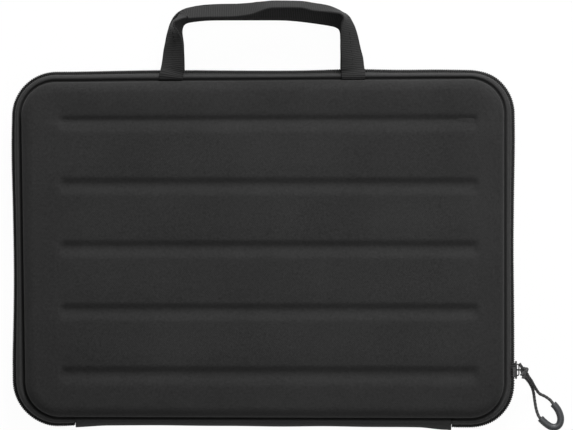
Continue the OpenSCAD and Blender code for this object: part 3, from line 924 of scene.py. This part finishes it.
REAR_ROUTE = [
    [-64.0, 117.2, 10.4, 0], [-64.0, 117.9, 9.6, 0], [-63.9, 119.8, 8.9, 1],
    [-63.7, 122.0, 8.7, 5], [-63.2, 126.0, 8.5, 16], [-62.9, 136.0, 8.4, 28],
    [-62.4, 142.2, 8.2, 38], [-62.2, 147.1, 7.9, 47], [-61.8, 151.4, 7.6, 55],
    [-61.0, 155.3, 7.2, 59], [-59.2, 158.8, 7.2, 60], [-56.0, 161.5, 7.1, 58],
    [-50.5, 163.2, 7.1, 55], [-39.5, 164.6, 6.8, 52], [-20.0, 165.0, 6.7, 50],
    [8.7, 165.0, 6.8, 50], [21.7, 164.4, 6.8, 50], [34.4, 163.0, 6.8, 50],
    [47.0, 161.0, 6.9, 51], [52.5, 159.3, 7.2, 53], [56.2, 156.6, 7.5, 55],
    [58.6, 152.5, 7.8, 51], [59.9, 147.0, 8.0, 43], [60.6, 141.0, 8.2, 35],
    [61.2, 134.0, 8.3, 28], [61.7, 126.0, 8.5, 16], [62.2, 122.0, 8.7, 5],
    [62.2, 119.8, 8.9, 1], [62.2, 117.9, 9.6, 0], [62.2, 117.2, 10.4, 0]]
STRAP_ACROSS = np.array([-1.0, -0.97, -0.8, -0.5, -0.2, 0.0, 0.2, 0.5, 0.8, 0.97, 1.0])
STRAP_EDGE = np.array([0.3, 0.85, 1.0, 1.0, 1.0, 1.0, 1.0, 1.0, 1.0, 0.85, 0.3])


def strap_frame(route, step):
    """Middle line, and the directions across and through the webbing, along a route."""
    fine = smooth_path(route, step)
    path, twist = fine[:, :3], np.radians(fine[:, 3])
    t = unit(np.gradient(path, axis=0))
    outward = unit(np.cross([0, 0, 1.0], t))
    up = np.cross(t, outward)
    cos, sin = np.cos(twist)[:, None], np.sin(twist)[:, None]
    return path, cos * outward + sin * up, cos * up - sin * outward


def add_handle(name, route, node):
    """Ribbed webbing, twisted so that the grip stands nearly on edge."""
    path, across, through = strap_frame(route, RIB_PITCH / RIB_STEPS)
    n = len(path)
    s = np.arange(n) * RIB_PITCH / RIB_STEPS
    rib = 0.5 + 0.5 * np.cos(2 * math.pi * s / RIB_PITCH)
    v = np.concatenate([STRAP_ACROSS, STRAP_ACROSS[::-1]])
    t = np.concatenate([STRAP_EDGE, -STRAP_EDGE[::-1]]) * STRAP_T / 2
    ribs = np.sign(t) * RIB_DEPTH * (1 - np.abs(v) ** 6)
    offset = t[None, :] + ribs[None, :] * rib[:, None] + 0.04 * np.sin(s / 7)[:, None]
    points = (path[:, None, :] + across[:, None, :] * (v * STRAP_W / 2)[None, :, None]
              + through[:, None, :] * offset[:, :, None])
    piece = add_piece(name, points.reshape(-1, 3), flipped(capped_faces(n, len(v))),
                      "webbing", replaces=[node], marks=[("rib", np.repeat(rib, len(v)))])
    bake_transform(piece)


STITCH_PITCH = 3.0
STITCH_L = 2.1
STITCH_D = 0.42
STITCH_STEP = 0.5
STITCH_SINK = 0.25
STITCHES_FROM, STITCHES_TO = 124.5, 152.0


def add_stitches(name, route, carry):
    """A row of thread down the middle of each leg, on the upper side."""
    path, _, through = strap_frame(route, STITCH_STEP)
    leg = (path[:, 1] > STITCHES_FROM) & (path[:, 1] < STITCHES_TO)
    lift = STRAP_T / 2 + RIB_DEPTH + 0.02
    reach = int(STITCH_L / STITCH_STEP) + 1
    sunk = np.array([-STITCH_SINK] + [0.0] * (reach - 2) + [-STITCH_SINK])
    parts = []
    for i in np.flatnonzero(leg)[::int(STITCH_PITCH / STITCH_STEP)]:
        if leg[i:i + reach].all():
            line = path[i:i + reach] + through[i:i + reach] * (lift + sunk)[:, None]
            parts.append(tube(smooth_path(line, STITCH_STEP / 2), STITCH_D / 2, 6))
    points, faces = joined(parts)
    add_piece(name, points, faces, "binding_cloth", carry)


# ---- Slider and bail ----

PLATE = 1.2
PLATE_GAP = 0.85
PLATE_EDGE = 0.3
WEDGE_HALF_Z = 0.2
LIP_LOW, LIP_HIGH = MID - 4.1, MID + 3.4
LIP_T = 0.7
BRIDGE_ROOT = 1.8
BRIDGE_INSET = 0.45


def add_slider():
    """Plates with rounded edges on both sides of the teeth, lips, a wedge and a bridge."""
    length, width = SLIDER_HIGH[1] - SLIDER_LOW[1], SLIDER_HIGH[2] - SLIDER_LOW[2]
    tail = 0.8 * width
    nose = [[length / 2 - width / 2 + width / 2 * math.cos(a), width / 2 * math.sin(a)]
            for a in np.radians(np.linspace(-90, 90, 17))]
    outline = np.array(nose + [[-length / 2 + 1, tail / 2], [-length / 2, tail / 2 - 1],
                               [-length / 2, -tail / 2 + 1], [-length / 2 + 1, -tail / 2]])
    parts = [bridge()]
    for x0 in (SLIDER_LOW[0], HALF_W + PLATE_GAP):
        x1, edge = x0 + PLATE, PLATE_EDGE
        profile = [(x0, edge), (x0 + edge * 0.3, edge * 0.3), (x0 + edge, 0),
                   (x1 - edge, 0), (x1 - edge * 0.3, edge * 0.3), (x1, edge)]
        points = np.array([[x, SLIDER_Y + p[0] * (1 - 2 * inset / width),
                            MID + p[1] * (1 - 2 * inset / width)]
                           for x, inset in profile for p in outline])
        parts.append((points, capped_faces(len(profile), len(outline))))
    parts.append(block([SLIDER_LOW[0] + 1.0, SLIDER_Y + 1, MID - WEDGE_HALF_Z],
                       [HALF_W + 0.9, SLIDER_Y + 5, MID + WEDGE_HALF_Z]))
    for z in (LIP_LOW, LIP_HIGH):
        parts.append(block([HALF_W - 1.0, SLIDER_Y - length / 2 + 1.2, z],
                           [HALF_W + 1.0, SLIDER_Y + length / 2 - 4.0, z + LIP_T]))
    points, faces = joined(parts)
    add_piece("slider_body", points, faces, "slider_paint", "slider", ["zip_slider"],
              crease=35)


def block(low, high):
    """A small block, as points and faces."""
    points = np.array([[x, y, z] for x in (low[0], high[0]) for y in (low[1], high[1])
                       for z in (low[2], high[2])])
    faces = [[0, 1, 3, 2], [4, 6, 7, 5], [0, 4, 5, 1], [2, 3, 7, 6], [0, 2, 6, 4],
             [1, 5, 7, 3]]
    return points, faces


def bridge():
    """Arch over the outer plate that holds the bail: a flat strip with rounded edges."""
    root = HALF_W + BRIDGE_ROOT
    top = SLIDER_HIGH[0] - BRIDGE_INSET
    rise = np.array([[root, 3.95], [root + 0.9, 3.9], [top - 0.3, 3.6], [top, 2.6]])
    arch = np.concatenate([rise * [1, -1], [[top, 0]], rise[::-1]])
    path = np.column_stack([arch[:, 0], SLIDER_Y + arch[:, 1], np.full(len(arch), MID)])
    path = smooth_path(path, 0.3)
    through = np.cross(unit(np.gradient(path, axis=0)), [0, 0, 1.0])
    shape = rounded([[-1.2, -0.42], [1.2, -0.42], [1.2, 0.42], [-1.2, 0.42]])
    points = (path[:, None, :] + shape[None, :, :1] * [0, 0, 1.0]
              + shape[None, :, 1:] * through[:, None, :])
    return points.reshape(-1, 3), capped_faces(len(path), len(shape))


BAIL_CORNER_R = 0.9


def add_bail():
    """One loop of wire with rounded corners."""
    inner, outer = BAIL_LOW[0] + WIRE_R, BAIL_HIGH[0] - WIRE_R
    half = (BAIL_HIGH[2] - BAIL_LOW[2]) / 2 - WIRE_R
    r, sides = BAIL_CORNER_R, 12
    path = []
    for k, (x, z) in enumerate([(outer, half), (inner, half), (inner, -half), (outer, -half)]):
        centre = (x - math.copysign(r, x - (inner + outer) / 2), z - math.copysign(r, z))
        for a in np.radians(np.linspace(90 * k, 90 * k + 90, 7)):
            path.append([centre[0] + r * math.cos(a), SLIDER_Y,
                         MID + centre[1] + r * math.sin(a)])
    path = np.array(path)
    t = unit(np.roll(path, -1, axis=0) - np.roll(path, 1, axis=0))
    up = np.array([0, 1.0, 0])
    through = np.cross(t, up)
    angles = 2 * math.pi * np.arange(sides) / sides
    ring = (np.cos(angles)[None, :, None] * up
            + np.sin(angles)[None, :, None] * through[:, None, :])
    points = (path[:, None, :] + WIRE_R * ring).reshape(-1, 3)
    faces = grid_faces(len(path), sides, close_rows=True, close_columns=True)
    add_piece("bail_wire", points, faces, "bail_metal", "pull", ["pull_bail"])


# ---- Elastic corner straps ----

ELASTIC_HALF = 10.0
ELASTIC_REACH = 50.0
ELASTIC_ARCH = 0.7
ELASTIC_RIBS = 18


def add_corner_strap(name, sx, sy, node):
    """Ribbed elastic across one corner of the rear floor, standing a little off it."""
    low, high = box_mm(node)
    corner = np.maximum(np.abs(low), np.abs(high))[:2]
    along = unit(np.array([sx, -sy], float))
    outward = unit(np.array([sx, sy], float))
    centre = np.array([sx, sy]) * (corner - ELASTIC_REACH / 2)
    v = np.linspace(-1, 1, 41)
    ribs = 0.5 + 0.5 * np.cos(v * ELASTIC_RIBS * math.pi)
    reach = ELASTIC_REACH / math.sqrt(2) - ELASTIC_HALF * v
    u = np.linspace(-1, 1, 25)
    rows = []
    for side in (1, -1):
        for k in range(len(v))[::side]:
            flat = centre + outward * v[k] * ELASTIC_HALF + np.outer(u * reach[k], along)
            arch = ELASTIC_ARCH * (1 - u ** 2)
            z = (low[2] + high[2]) / 2 + arch + side * (0.45 + 0.12 * ribs[k])
            rows.append(np.column_stack([flat, z]))
    points = np.stack(rows, axis=1)
    n, m = points.shape[:2]
    faces = capped_faces(n, m)
    if sx * sy > 0:
        faces = flipped(faces)
    marks = np.tile(np.concatenate([ribs, ribs[::-1]]), n)
    add_piece(name, points.reshape(-1, 3), faces, "elastic", "rear_half", [node],
              marks=[("rib", marks)])


# ---- Floor, lamps and world ----

FLOOR_HALF = 3.0
FLOOR_WHITE = 0.9
FLOOR_GLOW = 0.97
KEY_LAMP = {"place": (0.3, 1.45, 0.95), "size": 0.8, "power": 33}
OVERHEAD_LAMP = {"place": (0.18, 0.1, 0.62), "size": 0.5, "power": 1.7}
WORLD_STRENGTH = 0.32


def add_stage():
    """A white floor that the camera sees as plain white, and that still takes shadows."""
    finish = Finish("floor_white")
    seen = finish.node("ShaderNodeLightPath", {}, (), output="Is Camera Ray") * FLOOR_GLOW
    lit = finish.node("ShaderNodeBsdfDiffuse", {}, {"Color": (*[FLOOR_WHITE] * 3, 1)})
    glow = finish.node("ShaderNodeEmission", {}, ())
    finish.surface(finish.node("ShaderNodeMixShader", {}, (seen, lit, glow)))
    mesh = bpy.data.meshes.new("floor")
    corners = [(-1, -1), (1, -1), (1, 1), (-1, 1)]
    mesh.from_pydata([(x * FLOOR_HALF, y * FLOOR_HALF, 0) for x, y in corners], [],
                     [(0, 1, 2, 3)])
    mesh.materials.append(finish.material)
    floor = bpy.data.objects.new("floor", mesh)
    bpy.context.scene.collection.objects.link(floor)


def add_lamp(name, place, size, power):
    """A round soft lamp that points at the case."""
    data = bpy.data.lights.new(name, "AREA")
    data.shape = "DISK"
    data.size = size
    data.energy = power
    lamp = bpy.data.objects.new(name, data)
    lamp.location = place
    lamp.rotation_mode = "QUATERNION"
    lamp.rotation_quaternion = (-Vector(place)).to_track_quat("-Z", "Y")
    bpy.context.scene.collection.objects.link(lamp)


def light_the_case():
    """A key lamp beyond the handles, a weak one overhead, and an even white world."""
    add_lamp("key", **KEY_LAMP)
    add_lamp("overhead", **OVERHEAD_LAMP)
    world = bpy.data.worlds.new("studio")
    world.use_nodes = True
    background = world.node_tree.nodes["Background"]
    background.inputs["Color"].default_value = (1, 1, 1, 1)
    background.inputs["Strength"].default_value = WORLD_STRENGTH
    bpy.context.scene.world = world
    bpy.context.scene.view_settings.view_transform = "Standard"


# ---- The case ----

add_camera()
pull_cord, cord_path = add_cord()
knot = add_knot()
grip = add_grip()

for half, side in (("front_half", "front"), ("rear_half", "rear")):
    add_shell(f"{side}_moulding", half, f"{side}_shell")
    add_lining(f"{side}_lining_cloth", half, f"{side}_lining")
    add_tape(f"{side}_tape_roll", half, f"{side}_zip_tape")
    add_binding(f"{side}_edge_binding", half, f"{side}_binding")
add_teeth("front_teeth_row", "front_half", "front_zip_teeth", 0, 0)
add_teeth("rear_teeth_row", "rear_half", "rear_zip_teeth", TOOTH_PITCH / 2, REAR_RECESS)
add_spine_cloth("spine_upper_cloth", "front_half",
                ["spine_panel", "spine_lining", "front_hinge_strip"])
add_spine_cloth("spine_lower_cloth", "rear_half", ["rear_hinge_strip"])
add_handle("front_webbing", FRONT_ROUTE, "front_handle")
add_handle("rear_webbing", REAR_ROUTE, "rear_handle")
add_stitches("front_webbing_stitches", FRONT_ROUTE, "front_carry")
add_slider()
add_bail()
for sx, sy, node in ((-1, 1, "strap_upper_left"), (1, 1, "strap_upper_right"),
                     (-1, -1, "strap_lower_left"), (1, -1, "strap_lower_right")):
    add_corner_strap(node.replace("strap", "elastic"), sx, sy, node)
add_stage()
light_the_case()
